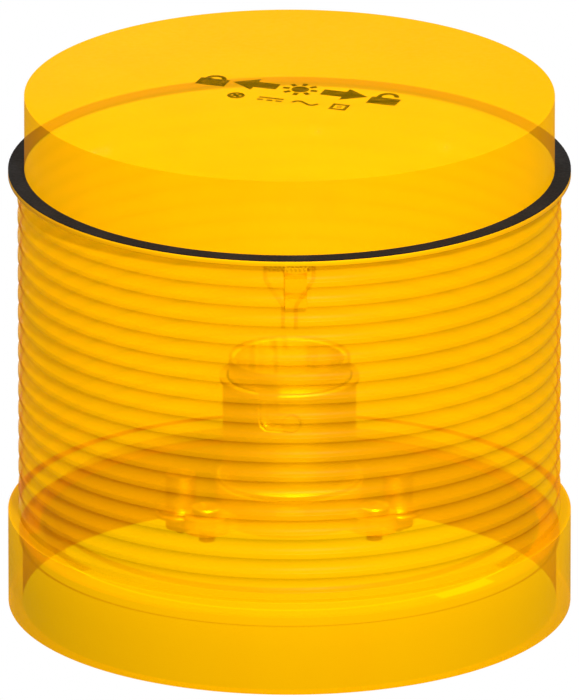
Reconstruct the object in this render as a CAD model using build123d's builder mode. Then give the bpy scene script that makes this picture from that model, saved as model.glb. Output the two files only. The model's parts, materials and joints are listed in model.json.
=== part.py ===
from build123d import *
import os

# Amber light module of a signal tower, 70 mm tube size, for a 15 mm bayonet lamp.
# Millimetres. The origin is the centre of the bottom face, +Z runs up the tower,
# and the index mark on the front looks towards -Y.

# ---- Lens shell ----
total_height = 66.17
collar_radius = 35.0
collar_height = 12.0
socket_radius = 33.2
socket_depth = 9.58
relief_radius = 33.6
relief_start = 8.4
land_radius = 33.7
spigot_radius = 32.83
bore_radius = 31.0
roof_thickness = 1.97
roof_fillet = 0.8
edge_round = 0.2
flange_round = 0.12

# ---- Flutes round the drum ----
flute_count = 17
flute_pitch = 2.53
flute_height = 1.9
flute_depth = 0.5
first_flute_top = 55.25

# ---- Flange and seal ----
flange_radius = 34.85
flange_underside = 55.86
seal_top = 56.63
seal_thickness = 0.14

# ---- Index mark under the flange ----
mark_width = 2.7
mark_radius = 34.4
mark_notch_radius = 33.95
mark_first_notch = 55.27
mark_slant_height = 1.2
mark_tooth_count = 2
mark_bottom = 50.0

# ---- Printed pictograms on the top disc ----
ink_thickness = 0.05
print_angle = -20.5
print_centre = (1.37, 1.95)
icon_row_length = 26.2
icon_height = 4.2
symbol_row_height = 2.2
symbol_row_drop = 4.75
symbol_pitch = 4.5
bar_length = 3.2
wave_height = 0.5
fine_stroke = 0.42
padlock_width = 3.8
padlock_body = 2.5
shackle_radius = 1.35
shackle_stroke = 0.6
open_lift = 0.55
arrow_inner = 2.9
arrow_outer = 8.8
arrow_head = 3.0
arrow_stroke = 2.0
lamp_disc_radius = 1.1
lamp_ray_radius = 1.8
lamp_ray_length = 0.85
lamp_ray_count = 8

# ---- Base plate and its bayonet ----
plate_radius = 30.7
plate_thickness = 1.62
plate_rim_width = 1.5
plate_rim_height = 0.7
lug_angles = [90, 210, 330]
lug_span = 12
lug_radius = 32.3
lug_bottom = 10.6
lug_top = 11.7
track_radius = 32.6
track_bottom = 10.4
track_top = 11.9
track_side_gap = 2
unlock_angle = 18
coin_slot_length = 16.0
coin_slot_width = 1.8
coin_slot_depth = 0.8

# ---- Supply contacts ----
supply_offset = 13.5
bush_radius = 1.9
bush_flange_radius = 2.8
bush_flange_height = 0.5
bush_top = 16.5
bush_bore_radius = 1.3
bush_shoulder = 10.4
bush_roof = 16.0
pin_radius = 1.0
pin_collar_radius = 1.25
pin_fit = 0.05
pin_tip = 8.68
pin_collar_top = 11.4
pin_stem_radius = 0.5
pin_stem_top = 13.0
pin_spring_radius = 0.95
pin_spring_wire = 0.12
pin_spring_turns = 5

# ---- Terminal strips ----
strip_thickness = 0.3
strip_width = 4.0
strip_pad_radius = 3.2
strip_inner_end = 1.75
strip_clearance = 0.05

# ---- Lamp holder ----
holder_radius = 9.2
holder_shoulder = 16.0
boss_radius = 7.85
boss_top = 18.5
ear_offset = 12.0
ear_radius = 2.8
ear_width = 4.4
ear_height = 2.0
channel_width = 4.4
channel_height = 0.4
contact_offset = 3.5
chamber_radius = 2.35
chamber_roof = 15.7
guide_radius = 1.4
holder_fillet = 0.35

# ---- Screws ----
screw_radius = 0.98
screw_hole_radius = 1.15
pilot_radius = 1.0
screw_tip = 9.9
screw_head_radius = 1.9
screw_head_height = 1.2
recess_length = 2.6
recess_width = 0.5
recess_depth = 0.6

# ---- Bayonet sleeve of the lamp holder ----
sleeve_radius = 8.3
sleeve_top = 29.5
sleeve_foot_radius = 9.0
sleeve_foot_height = 0.5
sleeve_lip_radius = 8.7
sleeve_lip_height = 0.5
slot_half_width = 1.3
lamp_turn_angle = 20
lamp_pin_height = 26.0
lamp_pin_angle = 90

# ---- Lamp plungers ----
plunger_radius = 1.35
plunger_tip = 19.3
plunger_collar_radius = 1.95
plunger_collar_bottom = 14.5
plunger_collar_top = 15.5
plunger_stem_radius = 0.9
plunger_stem_bottom = 13.0
plunger_chamfer = 0.3
plunger_spring_radius = 1.6
plunger_spring_wire = 0.15
plunger_spring_turns = 3.5

# ---- Lamp ----
cap_radius = 7.55
cap_wall = 0.35
cap_bottom = 19.7
cap_top = 32.0
insulator_height = 1.9
end_contact_radius = 1.5
end_contact_drop = 0.35
lamp_pin_radius = 1.0
lamp_pin_reach = 8.7
lamp_pin_root = 6.9
glass_wall = 0.6
neck_radius = 6.8
neck_bottom = 24.0
neck_top = 31.6
bulb_radius = 8.0
bulb_shoulder = 33.6
lamp_length = 35.0
stem_flare_height = 1.0
stem_waist_radius = 3.5
stem_waist_height = 2.6
stem_neck_height = 5.0
stem_radius = 1.6
stem_top = 37.0
lead_radius = 0.22
lead_spacing = 1.6
lead_top = 43.5
lead_embedded = 1.5
lead_straight = 1.5
lead_bend_radius = 1.0
filament_half_length = 3.0
filament_radius = 0.45
filament_wire = 0.1
filament_turns = 10

# ---- Levels that follow from the driving dimensions ----
roof_underside = total_height - roof_thickness
flange_top = seal_top - seal_thickness
plate_top = socket_depth + plate_thickness
strip_top = plate_top + strip_thickness
cap_bore_radius = cap_radius - cap_wall
lamp_bottom = cap_bottom - end_contact_drop
bulb_tip = lamp_bottom + lamp_length
dome_base = bulb_tip - bulb_radius

os.makedirs("parts", exist_ok=True)


def ring_sector(inner_radius, outer_radius, start, sweep):
    """A flat sector of a ring, angles in degrees counter-clockwise from +X."""
    with BuildSketch() as sector:
        with BuildLine():
            outer = CenterArc((0, 0), outer_radius, start, sweep)
            inner = CenterArc((0, 0), inner_radius, start, sweep)
            Line(outer @ 0, inner @ 0)
            Line(outer @ 1, inner @ 1)
        make_face()
    return sector.sketch


def rings_at(piece, radius, height):
    """The circular edges of a piece that have this radius and lie at this height."""
    level = piece.edges().filter_by(GeomType.CIRCLE).filter_by_position(Axis.Z, height, height)
    return [edge for edge in level if abs(edge.radius - radius) < 0.01]


def coil(wire_radius, coil_radius, bottom, top, turns, x):
    """A compression spring standing between two levels, its axis upright at (x, 0)."""
    low = bottom + wire_radius
    high = top - wire_radius
    with BuildPart() as spring:
        with BuildLine():
            path = Helix(
                pitch=(high - low) / turns,
                height=high - low,
                radius=coil_radius,
                center=(x, 0, low),
            )
        with BuildSketch(Plane(origin=path @ 0, z_dir=path % 0)):
            Circle(wire_radius)
        sweep(is_frenet=True)
    return spring


# ---------------------------------------------------------------------------
# Lens body: spigot, flange, fluted drum and collar in one moulding
# ---------------------------------------------------------------------------
with BuildPart() as lens_body:
    with BuildSketch(Plane.XZ):
        with BuildLine():
            Polyline(
                (0, total_height),
                (spigot_radius, total_height),
                (spigot_radius, flange_top),
                (flange_radius, flange_top),
                (flange_radius, flange_underside),
                (land_radius, flange_underside),
                (land_radius, first_flute_top),
            )
            for number in range(flute_count):
                flute_top = first_flute_top - number * flute_pitch
                flute_bottom = flute_top - flute_height
                last_flute = number == flute_count - 1
                land_end = collar_height if last_flute else flute_top - flute_pitch
                ThreePointArc(
                    (land_radius, flute_top),
                    (land_radius - flute_depth, (flute_top + flute_bottom) / 2),
                    (land_radius, flute_bottom),
                )
                Line((land_radius, flute_bottom), (land_radius, land_end))
            Polyline(
                (land_radius, collar_height),
                (collar_radius, collar_height),
                (collar_radius, 0),
                (socket_radius, 0),
                (socket_radius, relief_start),
                (relief_radius, relief_start),
                (relief_radius, socket_depth),
                (bore_radius, socket_depth),
                (bore_radius, roof_underside),
                (0, roof_underside),
                (0, total_height),
            )
        make_face()
    revolve(axis=Axis.Z)
    fillet(rings_at(lens_body, bore_radius, roof_underside), roof_fillet)
    fillet(rings_at(lens_body, spigot_radius, total_height), edge_round)
    fillet(rings_at(lens_body, flange_radius, flange_underside), flange_round)
    fillet(rings_at(lens_body, collar_radius, collar_height), edge_round)
    fillet(rings_at(lens_body, collar_radius, 0), edge_round)
    fillet(rings_at(lens_body, socket_radius, 0), edge_round)

    # Saw-tooth index mark on the drum, hanging from the flange
    mark_outline = [
        (-land_radius + flute_depth, mark_bottom),
        (-land_radius + flute_depth, flange_underside),
        (-mark_radius, flange_underside),
        (-mark_radius, mark_first_notch),
    ]
    for tooth in range(mark_tooth_count):
        notch = mark_first_notch - tooth * flute_pitch - mark_slant_height
        face_end = mark_first_notch - (tooth + 1) * flute_pitch
        mark_outline += [(-mark_notch_radius, notch), (-mark_radius, notch), (-mark_radius, face_end)]
    with BuildSketch(Plane.YZ):
        with BuildLine():
            Polyline(*mark_outline, close=True)
        make_face()
    extrude(amount=mark_width / 2, both=True)

    # Bayonet: an entry from below and a track that each lug turns into
    entry_span = lug_span + 2 * track_side_gap
    with BuildSketch(Plane.XY.offset(socket_depth)):
        for angle in lug_angles:
            start = angle - unlock_angle - entry_span / 2
            add(ring_sector(bore_radius - 1, track_radius, start, entry_span))
    extrude(amount=track_top - socket_depth, mode=Mode.SUBTRACT)
    with BuildSketch(Plane.XY.offset(track_bottom)):
        for angle in lug_angles:
            start = angle - unlock_angle - entry_span / 2
            span = entry_span / 2 + unlock_angle + lug_span / 2 + track_side_gap / 2
            add(ring_sector(bore_radius - 1, track_radius, start, span))
    extrude(amount=track_top - track_bottom, mode=Mode.SUBTRACT)
lens_body.part.label = "lens_body"
export_step(lens_body.part, "parts/lens_body.step")

# ---------------------------------------------------------------------------
# Seal: flat gasket moulded onto the whole top of the flange
# ---------------------------------------------------------------------------
with BuildPart() as seal_ring:
    with BuildSketch(Plane.XY.offset(flange_top)):
        Circle(flange_radius)
        Circle(spigot_radius, mode=Mode.SUBTRACT)
    extrude(amount=seal_thickness)
seal_ring.part.label = "seal_ring"
export_step(seal_ring.part, "parts/seal_ring.step")

# ---------------------------------------------------------------------------
# Pictograms: shut padlock, arrow, lit lamp, arrow and open padlock, over a row of
# electrical symbols (lamp, direct current, alternating current, double insulation)
# ---------------------------------------------------------------------------
padlock_offset = (icon_row_length - padlock_width) / 2
shackle_base = padlock_body - icon_height / 2
arrow_neck = arrow_outer - arrow_head


def shackle(x, lift):
    """The bow of a padlock over x, lifted out of its body when it is open."""
    foot = shackle_base + lift
    with BuildSketch() as bow:
        with Locations((x, foot)):
            Circle(shackle_radius)
            Circle(shackle_radius - shackle_stroke, mode=Mode.SUBTRACT)
        with Locations((x, foot - shackle_radius)):
            Rectangle(3 * shackle_radius, 2 * shackle_radius, mode=Mode.SUBTRACT)
        with Locations((x - shackle_radius + shackle_stroke / 2, foot - lift / 2)):
            Rectangle(shackle_stroke, lift + fine_stroke)
    return bow.sketch


print_plane = Plane(
    origin=(*print_centre, total_height),
    x_dir=Vector(1, 0, 0).rotate(Axis.Z, print_angle),
    z_dir=(0, 0, 1),
)
with BuildPart() as top_marking:
    with BuildSketch(print_plane):
        for side, lift in ((-1, 0), (1, open_lift)):
            with Locations((side * padlock_offset, (shackle_base - icon_height / 2) / 2)):
                Rectangle(padlock_width, padlock_body)
            add(shackle(side * padlock_offset, lift))
            with Locations((side * (arrow_inner + arrow_neck) / 2, 0)):
                Rectangle(arrow_neck - arrow_inner, arrow_stroke)
            with BuildLine():
                Polyline(
                    (side * arrow_outer, 0),
                    (side * arrow_neck, icon_height / 2),
                    (side * arrow_neck, -icon_height / 2),
                    close=True,
                )
            make_face()
        Circle(lamp_disc_radius)
        with PolarLocations(lamp_ray_radius, lamp_ray_count):
            Rectangle(lamp_ray_length, shackle_stroke)
    extrude(amount=ink_thickness)

    row = -symbol_row_drop
    half = symbol_row_height / 2
    lamp_x, direct_x, alternating_x, insulated_x = [symbol_pitch * step for step in (-1.5, -0.5, 0.5, 1.5)]
    with BuildSketch(print_plane):
        with Locations((lamp_x, row)):
            Circle(half)
            Circle(half - fine_stroke, mode=Mode.SUBTRACT)
            for tilt in (45, -45):
                Rectangle(symbol_row_height - fine_stroke, fine_stroke, rotation=tilt)
        with Locations((direct_x, row + fine_stroke)):
            Rectangle(bar_length, fine_stroke)
        with Locations((direct_x, row - fine_stroke)):
            with GridLocations(bar_length * 3 / 8, 0, 3, 1):
                Rectangle(bar_length / 4, fine_stroke)
        with BuildLine() as wave:
            Spline(
                (alternating_x - bar_length / 2, row - wave_height / 2),
                (alternating_x - bar_length / 4, row + wave_height),
                (alternating_x + bar_length / 4, row - wave_height),
                (alternating_x + bar_length / 2, row + wave_height / 2),
            )
        trace(lines=wave.edges(), line_width=fine_stroke)
        with Locations((insulated_x, row)):
            for inset in (0, 2):
                outer_length = symbol_row_height - 2 * inset * fine_stroke
                Rectangle(outer_length, outer_length)
                inner_length = outer_length - 2 * fine_stroke
                Rectangle(inner_length, inner_length, mode=Mode.SUBTRACT)
    extrude(amount=ink_thickness)
top_marking.part.label = "top_marking"
export_step(top_marking.part, "parts/top_marking.step")

# ---------------------------------------------------------------------------
# Base plate: the roof of the socket, held in the lens by three lugs
# ---------------------------------------------------------------------------
with BuildPart() as base_plate:
    with BuildSketch(Plane.XY.offset(socket_depth)):
        Circle(plate_radius)
    extrude(amount=plate_thickness)
    with BuildSketch(Plane.XY.offset(plate_top)):
        Circle(plate_radius)
        Circle(plate_radius - plate_rim_width, mode=Mode.SUBTRACT)
    extrude(amount=plate_rim_height)
    with BuildSketch(Plane.XY.offset(lug_bottom)):
        for angle in lug_angles:
            add(ring_sector(plate_radius - 1, lug_radius, angle - lug_span / 2, lug_span))
    extrude(amount=lug_top - lug_bottom)
    with BuildSketch(Plane.XY.offset(socket_depth)):
        SlotOverall(coin_slot_length, coin_slot_width)
    extrude(amount=coin_slot_depth, mode=Mode.SUBTRACT)
    with Locations((supply_offset, 0, plate_top), (-supply_offset, 0, plate_top)):
        Hole(bush_radius)
    with BuildSketch(Plane.XY.offset(plate_top)):
        with PolarLocations(ear_offset, len(lug_angles), start_angle=lug_angles[0]):
            Circle(pilot_radius)
    extrude(amount=screw_tip - plate_top, mode=Mode.SUBTRACT)
base_plate.part.label = "base_plate"
export_step(base_plate.part, "parts/base_plate.step")

# ---------------------------------------------------------------------------
# Lamp holder: moulded block with three screw ears and two contact chambers
# ---------------------------------------------------------------------------
with BuildPart() as lamp_holder:
    with BuildSketch(Plane.XY.offset(plate_top)):
        Circle(holder_radius)
    extrude(amount=holder_shoulder - plate_top)
    fillet(lamp_holder.edges().group_by(Axis.Z)[-1], holder_fillet)
    with BuildSketch(Plane.XY.offset(plate_top)):
        with PolarLocations(ear_offset, len(lug_angles), start_angle=lug_angles[0]):
            Circle(ear_radius)
        with PolarLocations(ear_offset / 2, len(lug_angles), start_angle=lug_angles[0]):
            Rectangle(ear_offset, ear_width)
    extrude(amount=ear_height)
    with BuildSketch(Plane.XY.offset(holder_shoulder)):
        Circle(boss_radius)
    extrude(amount=boss_top - holder_shoulder)
    with BuildSketch(Plane.XY.offset(plate_top)):
        with PolarLocations(ear_offset, len(lug_angles), start_angle=lug_angles[0]):
            Circle(screw_hole_radius)
    extrude(amount=ear_height, mode=Mode.SUBTRACT)
    with BuildSketch(Plane.XY.offset(plate_top)):
        with Locations((contact_offset, 0), (-contact_offset, 0)):
            Circle(chamber_radius)
    extrude(amount=chamber_roof - plate_top, mode=Mode.SUBTRACT)
    with BuildSketch(Plane.XY.offset(chamber_roof)):
        with Locations((contact_offset, 0), (-contact_offset, 0)):
            Circle(guide_radius)
    extrude(amount=boss_top - chamber_roof, mode=Mode.SUBTRACT)
    with BuildSketch(Plane.XY.offset(plate_top)):
        channel_length = holder_radius - strip_inner_end + 1
        channel_middle = strip_inner_end - strip_clearance + channel_length / 2
        with Locations((channel_middle, 0), (-channel_middle, 0)):
            Rectangle(channel_length, channel_width)
    extrude(amount=channel_height, mode=Mode.SUBTRACT)
lamp_holder.part.label = "lamp_holder"
export_step(lamp_holder.part, "parts/lamp_holder.step")

# ---------------------------------------------------------------------------
# Holder sleeve: thin metal tube with two L slots for the lamp's pins
# ---------------------------------------------------------------------------
with BuildPart() as holder_sleeve:
    with BuildSketch(Plane.XZ):
        with BuildLine():
            Polyline(
                (boss_radius, holder_shoulder),
                (sleeve_foot_radius, holder_shoulder),
                (sleeve_foot_radius, holder_shoulder + sleeve_foot_height),
                (sleeve_radius, holder_shoulder + sleeve_foot_height),
                (sleeve_radius, sleeve_top - sleeve_lip_height),
                (sleeve_lip_radius, sleeve_top - sleeve_lip_height),
                (sleeve_lip_radius, sleeve_top),
                (boss_radius, sleeve_top),
                close=True,
            )
        make_face()
    revolve(axis=Axis.Z)
    with BuildSketch(Plane.XY.offset(lamp_pin_height - slot_half_width)):
        for angle in (lamp_pin_angle, lamp_pin_angle + 180):
            start = angle - lamp_turn_angle
            add(ring_sector(boss_radius - 1, sleeve_foot_radius + 1, start, lamp_turn_angle))
    extrude(amount=2 * slot_half_width, mode=Mode.SUBTRACT)
    for angle in (lamp_pin_angle, lamp_pin_angle - lamp_turn_angle):
        slot_plane = Plane(
            origin=(0, 0, lamp_pin_height),
            x_dir=Vector(0, 1, 0).rotate(Axis.Z, angle),
            z_dir=Vector(1, 0, 0).rotate(Axis.Z, angle),
        )
        with BuildSketch(slot_plane):
            Circle(slot_half_width)
        extrude(amount=sleeve_foot_radius + 1, both=True, mode=Mode.SUBTRACT)
    entry_plane = Plane.XY.offset(lamp_pin_height).rotated((0, 0, lamp_pin_angle - lamp_turn_angle))
    with BuildSketch(entry_plane):
        Rectangle(2 * sleeve_foot_radius + 2, 2 * slot_half_width)
    extrude(amount=sleeve_top - lamp_pin_height, mode=Mode.SUBTRACT)
holder_sleeve.part.label = "holder_sleeve"
export_step(holder_sleeve.part, "parts/holder_sleeve.step")

# ---------------------------------------------------------------------------
# Screws that clamp the lamp holder's ears to the base plate
# ---------------------------------------------------------------------------
head_seat = plate_top + ear_height
with BuildPart() as holder_screws:
    with BuildSketch(Plane.XY.offset(screw_tip)):
        with PolarLocations(ear_offset, len(lug_angles), start_angle=lug_angles[0]):
            Circle(screw_radius)
    extrude(amount=head_seat - screw_tip)
    with BuildSketch(Plane.XY.offset(head_seat)):
        with PolarLocations(ear_offset, len(lug_angles), start_angle=lug_angles[0]):
            Circle(screw_head_radius)
    extrude(amount=screw_head_height)
    fillet(holder_screws.edges().group_by(Axis.Z)[-1], holder_fillet)
    with BuildSketch(Plane.XY.offset(head_seat + screw_head_height)):
        with PolarLocations(ear_offset, len(lug_angles), start_angle=lug_angles[0]):
            Rectangle(recess_length, recess_width)
            Rectangle(recess_width, recess_length)
    extrude(amount=-recess_depth, mode=Mode.SUBTRACT)
holder_screws.part.label = "holder_screws"
export_step(holder_screws.part, "parts/holder_screws.step")

# ---------------------------------------------------------------------------
# The two poles: supply contact, strip and lamp plunger, mirrored left and right
# ---------------------------------------------------------------------------
for number, side in ((1, 1), (2, -1)):
    supply_x = side * supply_offset
    plunger_x = side * contact_offset
    supply_axis = Axis((supply_x, 0, 0), (0, 0, 1))
    plunger_axis = Axis((plunger_x, 0, 0), (0, 0, 1))

    # Bush: flanged tube with a shoulder below and a closed top
    with BuildPart() as contact_bush:
        with BuildSketch(Plane.XZ):
            with BuildLine():
                Polyline(
                    (supply_x + pin_radius + pin_fit, socket_depth),
                    (supply_x + bush_radius, socket_depth),
                    (supply_x + bush_radius, strip_top),
                    (supply_x + bush_flange_radius, strip_top),
                    (supply_x + bush_flange_radius, strip_top + bush_flange_height),
                    (supply_x + bush_radius, strip_top + bush_flange_height),
                    (supply_x + bush_radius, bush_top),
                    (supply_x, bush_top),
                    (supply_x, bush_roof),
                    (supply_x + bush_bore_radius, bush_roof),
                    (supply_x + bush_bore_radius, bush_shoulder),
                    (supply_x + pin_radius + pin_fit, bush_shoulder),
                    close=True,
                )
            make_face()
        revolve(axis=supply_axis)
    contact_bush.part.label = f"contact_bush_{number}"
    export_step(contact_bush.part, f"parts/contact_bush_{number}.step")

    # Supply contact: round-nosed pin with a retaining collar and a spring stem
    with BuildPart() as contact_pin:
        with BuildSketch(Plane.XZ):
            with BuildLine():
                Polyline(
                    (supply_x + pin_radius, pin_tip + pin_radius),
                    (supply_x + pin_radius, bush_shoulder + pin_fit),
                    (supply_x + pin_collar_radius, bush_shoulder + pin_fit),
                    (supply_x + pin_collar_radius, pin_collar_top),
                    (supply_x + pin_stem_radius, pin_collar_top),
                    (supply_x + pin_stem_radius, pin_stem_top),
                    (supply_x, pin_stem_top),
                    (supply_x, pin_tip),
                )
                CenterArc((supply_x, pin_tip + pin_radius), pin_radius, -90, 90)
            make_face()
        revolve(axis=supply_axis)
    contact_pin.part.label = f"contact_pin_{number}"
    export_step(contact_pin.part, f"parts/contact_pin_{number}.step")

    contact_spring = coil(
        pin_spring_wire, pin_spring_radius, pin_collar_top, bush_roof, pin_spring_turns, supply_x
    )
    contact_spring.part.label = f"contact_spring_{number}"
    export_step(contact_spring.part, f"parts/contact_spring_{number}.step")

    # Strip: eye under the bush's flange, tongue under the lamp plunger's spring
    with BuildPart() as terminal_strip:
        with BuildSketch(Plane.XY.offset(plate_top)):
            with Locations((side * (strip_inner_end + supply_offset) / 2, 0)):
                Rectangle(supply_offset - strip_inner_end, strip_width)
            with Locations((supply_x, 0)):
                Circle(strip_pad_radius)
                Circle(bush_radius + strip_clearance, mode=Mode.SUBTRACT)
        extrude(amount=strip_thickness)
    terminal_strip.part.label = f"terminal_strip_{number}"
    export_step(terminal_strip.part, f"parts/terminal_strip_{number}.step")

    # Lamp plunger: flat-nosed pin that slides in the lamp holder
    with BuildPart() as lamp_plunger:
        with BuildSketch(Plane.XZ):
            with BuildLine():
                Polyline(
                    (plunger_x, plunger_tip),
                    (plunger_x + plunger_radius, plunger_tip),
                    (plunger_x + plunger_radius, plunger_collar_top),
                    (plunger_x + plunger_collar_radius, plunger_collar_top),
                    (plunger_x + plunger_collar_radius, plunger_collar_bottom),
                    (plunger_x + plunger_stem_radius, plunger_collar_bottom),
                    (plunger_x + plunger_stem_radius, plunger_stem_bottom),
                    (plunger_x, plunger_stem_bottom),
                    close=True,
                )
            make_face()
        revolve(axis=plunger_axis)
        chamfer(lamp_plunger.edges().group_by(Axis.Z)[-1], plunger_chamfer)
    lamp_plunger.part.label = f"lamp_plunger_{number}"
    export_step(lamp_plunger.part, f"parts/lamp_plunger_{number}.step")

    plunger_spring = coil(
        plunger_spring_wire,
        plunger_spring_radius,
        strip_top,
        plunger_collar_bottom,
        plunger_spring_turns,
        plunger_x,
    )
    plunger_spring.part.label = f"plunger_spring_{number}"
    export_step(plunger_spring.part, f"parts/plunger_spring_{number}.step")

# ---------------------------------------------------------------------------
# Lamp: 15 mm bayonet cap with two pins, glass tube, stem, leads and filament
# ---------------------------------------------------------------------------
with BuildPart() as lamp_cap:
    with BuildSketch(Plane.XY.offset(cap_bottom)):
        Circle(cap_radius)
        Circle(cap_bore_radius, mode=Mode.SUBTRACT)
    extrude(amount=cap_top - cap_bottom)
    chamfer(lamp_cap.edges().group_by(Axis.Z)[0].sort_by(SortBy.RADIUS)[-1], cap_wall / 2)
    with BuildSketch(Plane.XZ):
        with Locations((0, lamp_pin_height)):
            Circle(lamp_pin_radius)
    extrude(amount=cap_radius + 1, both=True, mode=Mode.SUBTRACT)
lamp_cap.part.label = "lamp_cap"
export_step(lamp_cap.part, "parts/lamp_cap.step")

with BuildPart() as lamp_pins:
    for direction in (1, -1):
        with BuildSketch(Plane.XZ.offset(direction * lamp_pin_root)):
            with Locations((0, lamp_pin_height)):
                Circle(lamp_pin_radius)
        extrude(amount=direction * (lamp_pin_reach - lamp_pin_root))
lamp_pins.part.label = "lamp_pins"
export_step(lamp_pins.part, "parts/lamp_pins.step")

with BuildPart() as lamp_insulator:
    with BuildSketch(Plane.XY.offset(cap_bottom)):
        Circle(cap_bore_radius)
        with Locations((contact_offset, 0), (-contact_offset, 0)):
            Circle(end_contact_radius, mode=Mode.SUBTRACT)
    extrude(amount=insulator_height)
lamp_insulator.part.label = "lamp_insulator"
export_step(lamp_insulator.part, "parts/lamp_insulator.step")

with BuildPart() as lamp_contacts:
    with BuildSketch(Plane.XY.offset(lamp_bottom)):
        with Locations((contact_offset, 0), (-contact_offset, 0)):
            Circle(end_contact_radius)
    extrude(amount=end_contact_drop + insulator_height)
    chamfer(lamp_contacts.edges().group_by(Axis.Z)[0], end_contact_drop / 2)
lamp_contacts.part.label = "lamp_contacts"
export_step(lamp_contacts.part, "parts/lamp_contacts.step")

with BuildPart() as lamp_bulb:
    with BuildSketch(Plane.XZ):
        with BuildLine():
            outer_neck = Line((neck_radius, neck_bottom), (neck_radius, neck_top))
            outer_wall = Line((bulb_radius, bulb_shoulder), (bulb_radius, dome_base))
            Spline(outer_neck @ 1, outer_wall @ 0, tangents=(outer_neck % 1, outer_wall % 0))
            CenterArc((0, dome_base), bulb_radius, 0, 90)
            Line((0, bulb_tip), (0, bulb_tip - glass_wall))
            inner_radius = bulb_radius - glass_wall
            CenterArc((0, dome_base), inner_radius, 0, 90)
            inner_wall = Line((inner_radius, bulb_shoulder), (inner_radius, dome_base))
            inner_neck = Line(
                (neck_radius - glass_wall, neck_bottom), (neck_radius - glass_wall, neck_top)
            )
            Spline(inner_neck @ 1, inner_wall @ 0, tangents=(inner_neck % 1, inner_wall % 0))
            Line(inner_neck @ 0, outer_neck @ 0)
        make_face()
    revolve(axis=Axis.Z)
lamp_bulb.part.label = "lamp_bulb"
export_step(lamp_bulb.part, "parts/lamp_bulb.step")

with BuildPart() as basing_cement:
    with BuildSketch(Plane.XY.offset(neck_bottom)):
        Circle(cap_bore_radius)
        Circle(neck_radius, mode=Mode.SUBTRACT)
    extrude(amount=neck_top - neck_bottom)
    with BuildSketch(Plane.XZ):
        with Locations((0, lamp_pin_height)):
            Circle(lamp_pin_radius)
    extrude(amount=cap_radius, both=True, mode=Mode.SUBTRACT)
basing_cement.part.label = "basing_cement"
export_step(basing_cement.part, "parts/basing_cement.step")

with BuildPart() as lamp_stem:
    flare_radius = neck_radius - glass_wall
    with BuildSketch(Plane.XZ):
        with BuildLine():
            Polyline(
                (0, stem_top),
                (0, neck_bottom),
                (flare_radius, neck_bottom),
                (flare_radius, neck_bottom + stem_flare_height),
            )
            ThreePointArc(
                (flare_radius, neck_bottom + stem_flare_height),
                (stem_waist_radius, neck_bottom + stem_waist_height),
                (stem_radius, neck_bottom + stem_neck_height),
            )
            Line((stem_radius, neck_bottom + stem_neck_height), (stem_radius, stem_top))
            Line((stem_radius, stem_top), (0, stem_top))
        make_face()
    revolve(axis=Axis.Z)
    fillet(lamp_stem.edges().group_by(Axis.Z)[-1], stem_radius / 2)
    with BuildSketch(Plane.XY.offset(stem_top - lead_embedded)):
        with Locations((lead_spacing / 2, 0), (-lead_spacing / 2, 0)):
            Circle(lead_radius)
    extrude(amount=lead_embedded, mode=Mode.SUBTRACT)
lamp_stem.part.label = "lamp_stem"
export_step(lamp_stem.part, "parts/lamp_stem.step")

with BuildPart() as lamp_leads:
    for side in (1, -1):
        with BuildLine():
            route = FilletPolyline(
                (side * lead_spacing / 2, 0, stem_top - lead_embedded),
                (side * lead_spacing / 2, 0, stem_top + lead_straight),
                (side * filament_half_length, 0, lead_top - lead_straight),
                (side * filament_half_length, 0, lead_top + filament_radius),
                radius=lead_bend_radius,
            )
        with BuildSketch(Plane(origin=route @ 0, z_dir=route % 0)):
            Circle(lead_radius)
        sweep(path=route)
lamp_leads.part.label = "lamp_leads"
export_step(lamp_leads.part, "parts/lamp_leads.step")

with BuildPart() as lamp_filament:
    filament_length = 2 * (filament_half_length - lead_radius - filament_wire)
    with BuildLine():
        winding = Helix(
            pitch=filament_length / filament_turns,
            height=filament_length,
            radius=filament_radius,
            center=(-filament_length / 2, 0, lead_top),
            direction=(1, 0, 0),
        )
    with BuildSketch(Plane(origin=winding @ 0, z_dir=winding % 0)):
        Circle(filament_wire)
    sweep(is_frenet=True)
lamp_filament.part.label = "lamp_filament"
export_step(lamp_filament.part, "parts/lamp_filament.step")
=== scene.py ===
import json
import math

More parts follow.
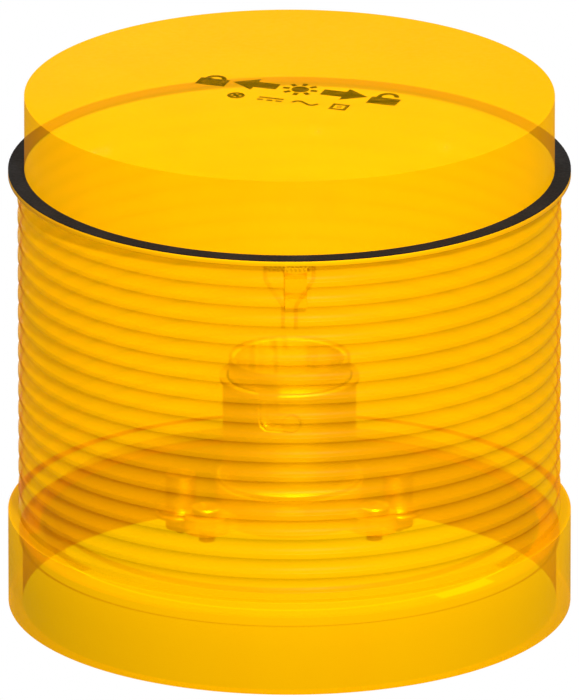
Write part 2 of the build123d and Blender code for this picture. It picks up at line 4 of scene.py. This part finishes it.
import bmesh
import bpy
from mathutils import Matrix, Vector

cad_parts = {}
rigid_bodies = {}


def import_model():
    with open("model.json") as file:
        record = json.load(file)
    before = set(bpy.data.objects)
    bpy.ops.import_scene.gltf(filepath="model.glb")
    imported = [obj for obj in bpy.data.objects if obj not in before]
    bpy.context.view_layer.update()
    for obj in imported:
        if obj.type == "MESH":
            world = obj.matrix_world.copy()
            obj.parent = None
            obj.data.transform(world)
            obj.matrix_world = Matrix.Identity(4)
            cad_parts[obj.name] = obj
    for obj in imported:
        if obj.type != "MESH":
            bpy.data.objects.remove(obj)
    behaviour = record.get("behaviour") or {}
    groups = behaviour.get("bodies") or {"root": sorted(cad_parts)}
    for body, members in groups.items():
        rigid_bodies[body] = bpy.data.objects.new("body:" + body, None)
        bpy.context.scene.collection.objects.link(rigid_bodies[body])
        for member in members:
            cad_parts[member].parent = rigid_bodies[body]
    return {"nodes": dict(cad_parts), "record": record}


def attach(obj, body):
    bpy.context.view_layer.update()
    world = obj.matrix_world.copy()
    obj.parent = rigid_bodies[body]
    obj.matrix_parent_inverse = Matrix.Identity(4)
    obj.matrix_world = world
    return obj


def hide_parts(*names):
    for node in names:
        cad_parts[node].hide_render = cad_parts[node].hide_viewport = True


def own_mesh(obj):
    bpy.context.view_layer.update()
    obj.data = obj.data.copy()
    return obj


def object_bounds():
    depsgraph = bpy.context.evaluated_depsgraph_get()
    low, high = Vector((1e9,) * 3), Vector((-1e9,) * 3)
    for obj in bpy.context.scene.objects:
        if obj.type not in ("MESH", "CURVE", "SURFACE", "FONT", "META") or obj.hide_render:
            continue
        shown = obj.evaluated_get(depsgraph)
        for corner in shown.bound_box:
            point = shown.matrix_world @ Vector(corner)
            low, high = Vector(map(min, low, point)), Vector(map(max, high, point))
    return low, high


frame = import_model()
cad_low, cad_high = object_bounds()
nodes = frame["nodes"]
MM = 0.001

# ---------------------------------------------------------------------------
# Camera: long lens at the photograph's angle, the drum filling the frame
# ---------------------------------------------------------------------------
PICTURE_LONG_SIDE = 700
SENSOR = 36.0
LENS = 1300.0
ELEVATION = math.radians(19.47)
AZIMUTH = math.radians(1.34)
DRUM_PIXELS = 564.0
CENTRE_HEIGHT = 0.494
CLIP_SHARE = 3

drum_width = cad_high.x - cad_low.x
target = Vector((0, 0, cad_low.z + CENTRE_HEIGHT * (cad_high.z - cad_low.z)))
distance = PICTURE_LONG_SIDE * LENS / SENSOR * drum_width / DRUM_PIXELS
towards_camera = Vector((
    -math.sin(AZIMUTH) * math.cos(ELEVATION),
    -math.cos(AZIMUTH) * math.cos(ELEVATION),
    math.sin(ELEVATION),
))
camera = bpy.data.objects.new("camera", bpy.data.cameras.new("camera"))
bpy.context.scene.collection.objects.link(camera)
camera.data.sensor_width = SENSOR
camera.data.lens = LENS
camera.data.clip_end = CLIP_SHARE * distance
camera.location = target + distance * towards_camera
camera.rotation_mode = "QUATERNION"
camera.rotation_quaternion = (-towards_camera).to_track_quat("-Z", "Y")
bpy.context.scene.camera = camera


# ---------------------------------------------------------------------------
# Light: a soft key from the upper front, one from straight above, one from
# behind and an even ambient level, in front of plain white
# ---------------------------------------------------------------------------
KEY_LEVEL = 1.30
OVERHEAD_LEVEL = 0.85
BACK_LEVEL = 0.30
AMBIENT = 0.34
SEEN_WHITE = 1.0
CLEAR_SURFACES = 32


def sun(name, direction, level, softness):
    """A distant light; level is the brightness it gives a white surface that faces it."""
    data = bpy.data.lights.new(name, "SUN")
    data.energy = math.pi * level
    data.angle = math.radians(softness)
    light = bpy.data.objects.new(name, data)
    light.rotation_mode = "QUATERNION"
    light.rotation_quaternion = (-Vector(direction)).to_track_quat("-Z", "Y")
    bpy.context.scene.collection.objects.link(light)
    return light


sun("key", (0.14, -0.80, 0.58), KEY_LEVEL, 5)
sun("overhead", (0, 0, 1), OVERHEAD_LEVEL, 1)
sun("back", (-0.25, 0.96, 0.02), BACK_LEVEL, 5)

world = bpy.data.worlds.new("studio")
bpy.context.scene.world = world
world.use_nodes = True
sky = world.node_tree
seen = sky.nodes["Background"]
seen.inputs["Color"].default_value = (1, 1, 1, 1)
seen.inputs["Strength"].default_value = SEEN_WHITE
ambient = sky.nodes.new("ShaderNodeBackground")
ambient.inputs["Color"].default_value = (1, 1, 1, 1)
ambient.inputs["Strength"].default_value = AMBIENT
rays = sky.nodes.new("ShaderNodeLightPath")
choose = sky.nodes.new("ShaderNodeMixShader")
sky.links.new(rays.outputs["Is Camera Ray"], choose.inputs["Fac"])
sky.links.new(ambient.outputs[0], choose.inputs[1])
sky.links.new(seen.outputs[0], choose.inputs[2])
sky.links.new(choose.outputs[0], sky.nodes["World Output"].inputs["Surface"])
bpy.context.scene.view_settings.view_transform = "Standard"
# A line of sight through the lens and the lamp crosses more than Cycles' usual eight clear surfaces
bpy.context.scene.cycles.transparent_max_bounces = CLEAR_SURFACES


# ---------------------------------------------------------------------------
# Materials
# ---------------------------------------------------------------------------
def new_material(name):
    material = bpy.data.materials.new(name)
    material.use_nodes = True
    tree = material.node_tree
    return material, tree, tree.nodes["Principled BSDF"]


def link(tree, source, sink):
    tree.links.new(source, sink)


def texture(tree, kind, scale, stretch=(1, 1, 1), detail=2.0, seed=0.0):
    """A noise or Voronoi pattern in the object's own metres; scale is repeats per metre."""
    place = tree.nodes.new("ShaderNodeTexCoord")
    mapping = tree.nodes.new("ShaderNodeMapping")
    mapping.inputs["Scale"].default_value = stretch
    mapping.inputs["Location"].default_value = (seed, 2 * seed, -seed)
    link(tree, place.outputs["Object"], mapping.inputs["Vector"])
    node = tree.nodes.new("ShaderNodeTex" + kind)
    node.inputs["Scale"].default_value = scale
    if kind == "Noise":
        node.inputs["Detail"].default_value = detail
        output = node.outputs["Fac"]
    else:
        output = node.outputs["Distance"]
    link(tree, mapping.outputs["Vector"], node.inputs["Vector"])
    return output


def spread(tree, value, low, high, from_low=0.3, from_high=0.7):
    """The value stretched from one range to another."""
    node = tree.nodes.new("ShaderNodeMapRange")
    node.inputs["From Min"].default_value = from_low
    node.inputs["From Max"].default_value = from_high
    node.inputs["To Min"].default_value = low
    node.inputs["To Max"].default_value = high
    link(tree, value, node.inputs["Value"])
    return node.outputs["Result"]


def two_colours(tree, value, first, second):
    node = tree.nodes.new("ShaderNodeMix")
    node.data_type = "RGBA"
    ends = [socket for socket in node.inputs if socket.enabled and socket.type == "RGBA"]
    colour_a, colour_b = ends
    colour_a.default_value = (*first, 1)
    colour_b.default_value = (*second, 1)
    link(tree, value, node.inputs["Factor"])
    return next(socket for socket in node.outputs if socket.enabled)


def bump(tree, shader, height, size, strength=1.0):
    """Surface relief; size is its height in millimetres."""
    node = tree.nodes.new("ShaderNodeBump")
    node.inputs["Strength"].default_value = strength
    node.inputs["Distance"].default_value = size * MM
    link(tree, height, node.inputs["Height"])
    link(tree, node.outputs["Normal"], shader.inputs["Normal"])


def see_through(tree, shader, solid, tint):
    """Puts a tinted clear share under the shader, which keeps the solid share."""
    clear = tree.nodes.new("ShaderNodeBsdfTransparent")
    clear.inputs["Color"].default_value = (*tint, 1)
    mix = tree.nodes.new("ShaderNodeMixShader")
    mix.inputs["Fac"].default_value = solid
    link(tree, clear.outputs[0], mix.inputs[1])
    link(tree, shader.outputs[0], mix.inputs[2])
    link(tree, mix.outputs[0], tree.nodes["Material Output"].inputs["Surface"])


def amber_plastic(name, solid, tint, deep=(0.99, 0.44, 0.0), pale=(0.99, 0.47, 0.0)):
    """Dyed clear polycarbonate: even colour, moulded gloss with a faint flow pattern; a copy given
    darker colours carries painted shade.
    """
    material, tree, shader = new_material(name)
    shader.inputs["Specular IOR Level"].default_value = 0.04
    flow = texture(tree, "Noise", 90, stretch=(1, 1, 0.35), detail=3)
    link(tree, two_colours(tree, spread(tree, flow, 0, 1), deep, pale), shader.inputs["Base Color"])
    haze = texture(tree, "Noise", 1400, detail=4, seed=3.1)
    link(tree, spread(tree, haze, 0.34, 0.44), shader.inputs["Roughness"])
    bump(tree, shader, haze, 0.004, 0.2)
    see_through(tree, shader, solid, tint)
    return material


def rubber():
    """Matt black gasket with a fine moulded grain and a little dust."""
    material, tree, shader = new_material("seal_rubber")
    shader.inputs["Specular IOR Level"].default_value = 0.05
    grain = texture(tree, "Noise", 2600, detail=3)
    dust = texture(tree, "Noise", 240, detail=5, seed=1.7)
    patches = spread(tree, dust, 0, 1, 0.45, 0.75)
    colour = two_colours(tree, patches, (0.0095, 0.0085, 0.0078), (0.014, 0.0125, 0.0115))
    link(tree, colour, shader.inputs["Base Color"])
    link(tree, spread(tree, grain, 0.6, 0.8), shader.inputs["Roughness"])
    bump(tree, shader, grain, 0.03, 0.5)
    return material


def ink():
    """Dark pad print: slightly uneven film, a touch glossier than the plastic's haze."""
    material, tree, shader = new_material("print_ink")
    shader.inputs["Specular IOR Level"].default_value = 0.2
    film = texture(tree, "Noise", 900, detail=4)
    colour = two_colours(tree, spread(tree, film, 0, 1), (0.026, 0.027, 0.03), (0.04, 0.041, 0.046))
    link(tree, colour, shader.inputs["Base Color"])
    link(tree, spread(tree, film, 0.4, 0.55), shader.inputs["Roughness"])
    bump(tree, shader, film, 0.01, 0.3)
    return material


def moulding(name, dark, light, solid, tint):
    """Semi-clear moulded part inside the lens, with a spark-eroded grain."""
    material, tree, shader = new_material(name)
    shader.inputs["Specular IOR Level"].default_value = 0.2
    cloud = texture(tree, "Noise", 160, detail=3)
    link(tree, two_colours(tree, spread(tree, cloud, 0, 1), dark, light), shader.inputs["Base Color"])
    grain = texture(tree, "Noise", 3200, detail=2, seed=0.9)
    link(tree, spread(tree, grain, 0.4, 0.6), shader.inputs["Roughness"])
    bump(tree, shader, grain, 0.02, 0.4)
    see_through(tree, shader, solid, tint)
    return material


def metal(name, dark, light, rough_low, rough_high, stretch=(1, 1, 1), scale=900):
    """Drawn, turned or plated metal: fine lines, tarnish clouds and uneven gloss."""
    material, tree, shader = new_material(name)
    shader.inputs["Metallic"].default_value = 1.0
    cloud = texture(tree, "Noise", 300, detail=4)
    link(tree, two_colours(tree, spread(tree, cloud, 0, 1), dark, light), shader.inputs["Base Color"])
    lines = texture(tree, "Noise", scale, stretch=stretch, detail=3, seed=2.3)
    link(tree, spread(tree, lines, rough_low, rough_high), shader.inputs["Roughness"])
    bump(tree, shader, lines, 0.01, 0.3)
    return material


def ceramic(name, dark, light, rough_low, rough_high, scale, relief):
    """Cement, insulating glass and other brittle fillings."""
    material, tree, shader = new_material(name)
    pores = texture(tree, "Voronoi", scale)
    speckle = spread(tree, pores, 0, 1, 0.1, 0.6)
    link(tree, two_colours(tree, speckle, dark, light), shader.inputs["Base Color"])
    link(tree, spread(tree, pores, rough_low, rough_high, 0.1, 0.6), shader.inputs["Roughness"])
    bump(tree, shader, pores, relief, 0.4)
    return material


def glass():
    """Thin clear glass with drawn streaks; nearly all of it is seen through."""
    material, tree, shader = new_material("lamp_glass")
    shader.inputs["Base Color"].default_value = (1, 1, 1, 1)
    shader.inputs["Alpha"].default_value = 0.01
    streak = texture(tree, "Noise", 350, stretch=(1, 1, 0.1), detail=3)
    link(tree, spread(tree, streak, 0.03, 0.1), shader.inputs["Roughness"])
    bump(tree, shader, streak, 0.02, 0.2)
    return material


# The diffuse share of an amber face, and the colour of what shows through the rest
SOLID = 0.40
TINT = (1.0, 0.77, 0.0)
materials = {
    "amber_polycarbonate": amber_plastic("amber_polycarbonate", SOLID, TINT),
    "amber_base": amber_plastic(
        "amber_base", 0.2, (1.0, 0.94, 0.2), (0.40, 0.23, 0.0), (0.44, 0.25, 0.0)
    ),
    "seal_rubber": rubber(),
    "print_ink": ink(),
    "holder_plastic": moulding(
        "holder_plastic", (1.0, 0.68, 0.1), (1.0, 0.74, 0.16), 0.5, (1.0, 0.9, 0.5)
    ),
    "cap_brass": metal("cap_brass", (0.96, 0.80, 0.42), (1.0, 0.86, 0.5), 0.45, 0.6, (1, 1, 12)),
    "zinc_screw": metal("zinc_screw", (0.92, 0.74, 0.42), (1.0, 0.82, 0.5), 0.35, 0.5),
    "contact_brass": metal("contact_brass", (0.92, 0.68, 0.3), (1.0, 0.76, 0.38), 0.35, 0.5),
    "spring_steel": metal("spring_steel", (0.8, 0.76, 0.66), (0.9, 0.86, 0.78), 0.3, 0.45, (1, 1, 4)),
    "steatite": ceramic("steatite", (0.9, 0.66, 0.3), (0.98, 0.76, 0.4), 0.3, 0.45, 900, 0.02),
    "solder": metal("solder", (0.6, 0.6, 0.62), (0.75, 0.75, 0.78), 0.35, 0.55, scale=1500),
    "cement": ceramic("cement", (0.9, 0.66, 0.3), (0.98, 0.76, 0.4), 0.75, 0.9, 1500, 0.05),
    "lamp_glass": glass(),
    "lead_wire": metal("lead_wire", (0.96, 0.74, 0.46), (1.0, 0.82, 0.56), 0.45, 0.6, (1, 1, 6)),
    "tungsten": metal("tungsten", (0.62, 0.58, 0.5), (0.72, 0.68, 0.6), 0.4, 0.6),
}
for entry in frame["record"]["subparts"]:
    for slot in nodes[entry["node"]].material_slots:
        slot.material = materials[entry["material_slot"]]


def inner_wall():
    """The lens's inner face: nearly clear, so the outer face carries the colour."""
    material, tree, shader = new_material("amber_inner_wall")
    shader.inputs["Base Color"].default_value = (1.0, 0.47, 0.0, 1)
    shader.inputs["Specular IOR Level"].default_value = 0.1
    shader.inputs["Alpha"].default_value = 0.03
    polish = texture(tree, "Noise", 500, stretch=(1, 1, 0.2), detail=3)
    link(tree, spread(tree, polish, 0.25, 0.4), shader.inputs["Roughness"])
    return material


lens_finish = [
    materials["amber_polycarbonate"],
    inner_wall(),
    # The socket wall is the same moulding as the skin: its darker colours are painted shade, standing
    # in for the shade seen across the many layers inside the socket.
    amber_plastic("amber_socket_painted_shade", SOLID, TINT, (0.28, 0.17, 0.0), (0.32, 0.19, 0.0)),
    amber_plastic("amber_flange_rim", 0.85, TINT, (1.0, 0.44, 0.0), (1.0, 0.48, 0.0)),
]

# ---------------------------------------------------------------------------
# Lens: one turned shape with rounded edges, index mark and bayonet tracks.
# Sizes in millimetres, heights above the bottom face.
# ---------------------------------------------------------------------------
TOTAL_HEIGHT = (cad_high.z - cad_low.z) / MM
COLLAR_RADIUS = drum_width / 2 / MM
COLLAR_HEIGHT = 12.0
SOCKET_RADIUS = 33.2
SOCKET_DEPTH = 9.58
RELIEF_RADIUS = 33.6
RELIEF_START = 8.4
LAND_RADIUS = 33.7
SPIGOT_RADIUS = 32.83
BORE_RADIUS = 31.0
ROOF_UNDERSIDE = TOTAL_HEIGHT - 1.97
FLANGE_RADIUS = 34.85
FLANGE_UNDERSIDE = 55.86
FLANGE_TOP = 56.49
FLUTE_COUNT = 17
FLUTE_PITCH = 2.53
FLUTE_HEIGHT = 1.9
FLUTE_DEPTH = 0.5
FIRST_FLUTE_TOP = 55.25
FLUTE_STEPS = 8
TURN_STEPS = 240
EDGE_ROUND = 0.06
EDGE_SEGMENTS = 2
EDGE_ANGLE = math.radians(30)
SHARP_ANGLE = math.radians(35)
WELD = 1e-4
NEAR = 0.01

MARK_HALF_WIDTH = 1.35
MARK_RADIUS = 34.4
MARK_NOTCH_RADIUS = 33.95
MARK_FIRST_NOTCH = 55.27
MARK_SLANT_HEIGHT = 1.2
MARK_TEETH = 2
MARK_BOTTOM = 50.0

TRACK_RADIUS = 32.6
TRACK_BOTTOM = 10.4
TRACK_TOP = 11.9
LUG_ANGLES = (90, 210, 330)
LUG_SPAN = 12
LUG_GAP = 2
OVERSHOOT = 1
UNLOCK_ANGLE = 18
OUTER, INNER, SOCKET, RIM = range(4)


def flute_points(top):
    """The hollow of one flute, from its upper edge to its lower edge."""
    radius = (FLUTE_HEIGHT ** 2 / 4 + FLUTE_DEPTH ** 2) / (2 * FLUTE_DEPTH)
    half_angle = math.asin(FLUTE_HEIGHT / 2 / radius)
    points = []
    for step in range(FLUTE_STEPS + 1):
        angle = half_angle * (1 - 2 * step / FLUTE_STEPS)
        depth = radius * math.cos(angle) - radius + FLUTE_DEPTH
        points.append((LAND_RADIUS - depth, top - FLUTE_HEIGHT / 2 + radius * math.sin(angle)))
    return points


def lens_profile():
    """Half section of the lens, from the top's centre round the outside to the roof's centre."""
    points = [
        (0, TOTAL_HEIGHT),
        (SPIGOT_RADIUS, TOTAL_HEIGHT),
        (SPIGOT_RADIUS, FLANGE_TOP),
        (FLANGE_RADIUS, FLANGE_TOP),
        (FLANGE_RADIUS, FLANGE_UNDERSIDE),
        (LAND_RADIUS, FLANGE_UNDERSIDE),
    ]
    for number in range(FLUTE_COUNT):
        points += flute_points(FIRST_FLUTE_TOP - number * FLUTE_PITCH)
    points += [
        (LAND_RADIUS, COLLAR_HEIGHT),
        (COLLAR_RADIUS, COLLAR_HEIGHT),
        (COLLAR_RADIUS, 0),
        (SOCKET_RADIUS, 0),
        (SOCKET_RADIUS, RELIEF_START),
        (RELIEF_RADIUS, RELIEF_START),
        (RELIEF_RADIUS, SOCKET_DEPTH),
        (BORE_RADIUS, SOCKET_DEPTH),
        (BORE_RADIUS, ROOF_UNDERSIDE),
        (0, ROOF_UNDERSIDE),
    ]
    return points


def new_object(name, bm):
    """A mesh object in metres from a bmesh in millimetres above the bottom face."""
    bmesh.ops.scale(bm, vec=(MM, MM, MM), verts=bm.verts)
    bmesh.ops.translate(bm, vec=(0, 0, cad_low.z), verts=bm.verts)
    bmesh.ops.recalc_face_normals(bm, faces=bm.faces)
    mesh = bpy.data.meshes.new(name)
    bm.to_mesh(mesh)
    bm.free()
    mesh.shade_smooth()
    mesh.set_sharp_from_angle(angle=SHARP_ANGLE)
    piece = bpy.data.objects.new(name, mesh)
    bpy.context.scene.collection.objects.link(piece)
    return piece


def apply_modifiers(piece):
    graph = bpy.context.evaluated_depsgraph_get()
    piece.data = bpy.data.meshes.new_from_object(piece.evaluated_get(graph))
    piece.modifiers.clear()


def round_edges(piece):
    rounding = piece.modifiers.new("rounding", "BEVEL")
    rounding.limit_method = "ANGLE"
    rounding.angle_limit = EDGE_ANGLE
    rounding.width = EDGE_ROUND * MM
    rounding.segments = EDGE_SEGMENTS
    apply_modifiers(piece)


def combine(piece, tool, operation):
    cut = piece.modifiers.new("combine", "BOOLEAN")
    cut.object = tool
    cut.operation = operation
    cut.solver = "MANIFOLD"
    apply_modifiers(piece)
    bpy.data.objects.remove(tool)


def prism(bm, outline, sweep, slot=OUTER):
    """A closed block: the outline's points moved along the sweep vector."""
    near = [bm.verts.new(point) for point in outline]
    far = [bm.verts.new(Vector(point) + Vector(sweep)) for point in outline]
    faces = [bm.faces.new(near[::-1]), bm.faces.new(far)]
    for index in range(len(outline)):
        after = (index + 1) % len(outline)
        faces.append(bm.faces.new((near[index], near[after], far[after], far[index])))
    for face in faces:
        face.material_index = slot


def ring_sector(inner, outer, start, sweep, height, steps=12):
    """The outline of part of a ring, angles in degrees from +X."""
    outline = []
    for radius, order in ((outer, range(steps + 1)), (inner, range(steps, -1, -1))):
        for step in order:
            angle = math.radians(start + sweep * step / steps)
            outline.append((radius * math.cos(angle), radius * math.sin(angle), height))
    return outline


def turned_shell():
    """The lens as one turned body; the faces of its bore and roof take the inner slot."""
    bm = bmesh.new()
    section = [bm.verts.new((radius, 0, height)) for radius, height in lens_profile()]
    edges = [bm.edges.new(pair) for pair in zip(section, section[1:])]
    bmesh.ops.spin(
        bm, geom=section + edges, cent=(0, 0, 0), axis=(0, 0, 1), angle=2 * math.pi, steps=TURN_STEPS
    )
    bmesh.ops.remove_doubles(bm, verts=bm.verts, dist=WELD)
    for face in bm.faces:
        middle = face.calc_center_median()
        radius = math.hypot(middle.x, middle.y)
        if radius < BORE_RADIUS + NEAR and SOCKET_DEPTH < middle.z < ROOF_UNDERSIDE + NEAR:
            face.material_index = INNER
        # The socket's faces take the darker amber copy, which carries painted shade.
        elif radius < RELIEF_RADIUS + NEAR and NEAR < middle.z < SOCKET_DEPTH - NEAR:
            face.material_index = SOCKET
        elif radius > LAND_RADIUS and FLANGE_UNDERSIDE - NEAR < middle.z < FLANGE_TOP - NEAR:
            face.material_index = RIM
    return new_object("lens_shell", bm)


def index_mark():
    """Saw-tooth mark on the front of the drum, hanging from the flange."""
    outline = [
        (-LAND_RADIUS + FLUTE_DEPTH, MARK_BOTTOM),
        (-LAND_RADIUS + FLUTE_DEPTH, FLANGE_UNDERSIDE + EDGE_ROUND),
        (-MARK_RADIUS, FLANGE_UNDERSIDE + EDGE_ROUND),
        (-MARK_RADIUS, MARK_FIRST_NOTCH),
    ]
    for tooth in range(MARK_TEETH):
        notch = MARK_FIRST_NOTCH - tooth * FLUTE_PITCH - MARK_SLANT_HEIGHT
        outline += [
            (-MARK_NOTCH_RADIUS, notch),
            (-MARK_RADIUS, notch),
            (-MARK_RADIUS, MARK_FIRST_NOTCH - (tooth + 1) * FLUTE_PITCH),
        ]
    bm = bmesh.new()
    prism(bm, [(-MARK_HALF_WIDTH, y, z) for y, z in outline], (2 * MARK_HALF_WIDTH, 0, 0))
    return new_object("index_mark", bm)


def bayonet_tracks():
    """Three entries from below, each with the track that a lug turns into."""
    bm = bmesh.new()
    entry = LUG_SPAN + 2 * LUG_GAP
    for lug in LUG_ANGLES:
        start = lug - UNLOCK_ANGLE - entry / 2
        run = entry / 2 + UNLOCK_ANGLE + (LUG_SPAN + LUG_GAP) / 2
        inner = BORE_RADIUS - OVERSHOOT
        way_in = ring_sector(inner, TRACK_RADIUS, start, entry, SOCKET_DEPTH - OVERSHOOT)
        prism(bm, way_in, (0, 0, TRACK_TOP - SOCKET_DEPTH + OVERSHOOT), INNER)
        beyond = ring_sector(inner, TRACK_RADIUS, start + entry, run - entry, TRACK_BOTTOM)
        prism(bm, beyond, (0, 0, TRACK_TOP - TRACK_BOTTOM), INNER)
    return new_object("bayonet_tracks", bm)


lens_shell = turned_shell()
for finish in lens_finish:
    lens_shell.data.materials.append(finish)
round_edges(lens_shell)
combine(lens_shell, index_mark(), "UNION")
combine(lens_shell, bayonet_tracks(), "DIFFERENCE")
lens_shell.data.set_sharp_from_angle(angle=SHARP_ANGLE)
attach(lens_shell, "lens")
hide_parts("lens_body")

# ---------------------------------------------------------------------------
# Springs: the CAD coils, which shorten as their contacts move
# --------------------------------------------------------------------------- Springs: copies of the CAD coils in spring steel, each attached to its joint's parent
inside = bpy.data.collections.new("inside")
for joint in frame["record"]["behaviour"]["joints"]:
    for spring in joint.get("deforming_nodes", []):
        name = spring["node"]
        coil = bpy.data.objects.new(name + "_coil", nodes[name].data.copy())
        coil.data.materials.clear()
        coil.data.materials.append(materials["spring_steel"])
        bpy.context.scene.collection.objects.link(coil)
        inside.objects.link(coil)
        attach(coil, joint["parent"])
        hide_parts(name)
        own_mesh(coil)

# ---------------------------------------------------------------------------
# Light inside: shines on the lamp and its surroundings only, and nothing blocks it
# ---------------------------------------------------------------------------
outside = {"lens_body", "seal_ring", "top_marking", "base_plate"}
for name, node in nodes.items():
    if name not in outside:
        inside.objects.link(node)
INNER_LEVEL = 0.85
glow = sun("inner_glow", (0.1, -0.75, 0.65), INNER_LEVEL, 90)
glow.light_linking.receiver_collection = inside
glow.light_linking.blocker_collection = bpy.data.collections.new("nothing")

# ---------------------------------------------------------------------------
# Floor
# ---------------------------------------------------------------------------
FLOOR_REACH = 3.0
FLOOR_GAP = 0.03
floor_mesh = bpy.data.meshes.new("floor")
floor_corners = [(FLOOR_REACH * x, FLOOR_REACH * y, 0) for x, y in ((-1, -1), (1, -1), (1, 1), (-1, 1))]
floor_mesh.from_pydata(floor_corners, [], [(0, 1, 2, 3)])
floor = bpy.data.objects.new("floor", floor_mesh)
bpy.context.scene.collection.objects.link(floor)
floor.location.z = cad_low.z - FLOOR_GAP * MM
floor.visible_diffuse = False
floor.visible_glossy = False
floor_material, _, floor_shader = new_material("floor")
floor_shader.inputs["Base Color"].default_value = (0, 0, 0, 1)
floor_shader.inputs["Specular IOR Level"].default_value = 0.0
floor_shader.inputs["Emission Color"].default_value = (1, 1, 1, 1)
floor_shader.inputs["Emission Strength"].default_value = 1.0
floor_mesh.materials.append(floor_material)
